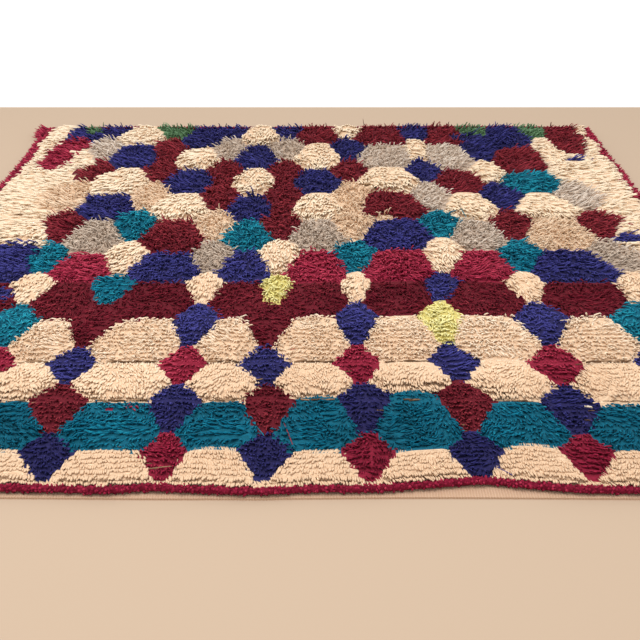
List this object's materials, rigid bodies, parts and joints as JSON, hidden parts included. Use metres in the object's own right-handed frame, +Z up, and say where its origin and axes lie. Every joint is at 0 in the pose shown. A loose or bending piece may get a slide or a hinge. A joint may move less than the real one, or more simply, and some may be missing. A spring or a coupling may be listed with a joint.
{
  "type": "azilal rug",
  "caption": "Hand-knotted wool shag rug lying flat, with a lattice of coloured hexagons and lozenges, flat-woven ends and tufted crimson edges.",
  "frame": {"origin": "centre of the rug's bounding box, on the underside, where it rests on the floor", "axes": "+X across the rug, to the right as the picture shows it; +Y along the rug, from the near end to the far end; +Z up from the floor through the pile"},
  "size_m": [1.6016, 1.6938, 0.0366],
  "materials": {
    "cream_wool": "undyed wool pile",
    "tan_wool": "undyed wool pile",
    "grey_wool": "undyed wool pile",
    "navy_wool": "dyed wool pile",
    "burgundy_wool": "dyed wool pile",
    "crimson_wool": "dyed wool pile",
    "teal_wool": "dyed wool pile",
    "lime_wool": "dyed wool pile",
    "green_wool": "dyed wool pile",
    "ground_weave": "plain wool weave"
  },
  "bodies": {
    "root": {"rug": "cream_wool", "end_row_near": "crimson_wool", "end_row_far": "crimson_wool", "selvedge_left": "crimson_wool", "corner_tufts_left": "crimson_wool", "selvedge_right": "crimson_wool", "far_pile_locks": "burgundy_wool"}
  },
  "joints": []
}
